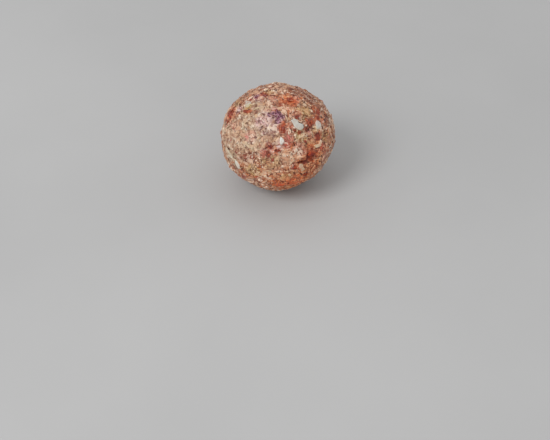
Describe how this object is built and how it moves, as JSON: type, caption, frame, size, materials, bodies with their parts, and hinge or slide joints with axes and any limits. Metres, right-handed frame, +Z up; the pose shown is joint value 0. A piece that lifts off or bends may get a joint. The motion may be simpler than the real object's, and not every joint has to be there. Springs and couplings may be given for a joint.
{
  "type": "energy ball",
  "caption": "Hand-rolled energy ball of ground nuts, dates, coconut and dried berries, standing on a small flat spot.",
  "frame": {"origin": "on the surface that the ball stands on, under the middle of the ball's bounding box", "axes": "+Z up, with the flat spot it stands on facing down; the side that the picture shows faces -Y"},
  "size_m": [0.0332, 0.0322, 0.0314],
  "materials": {
    "paste": "satin",
    "nut": "satin",
    "coconut": "satin",
    "date": "satin",
    "berry": "satin"
  },
  "bodies": {
    "root": {"energy_ball": "paste"}
  },
  "joints": []
}
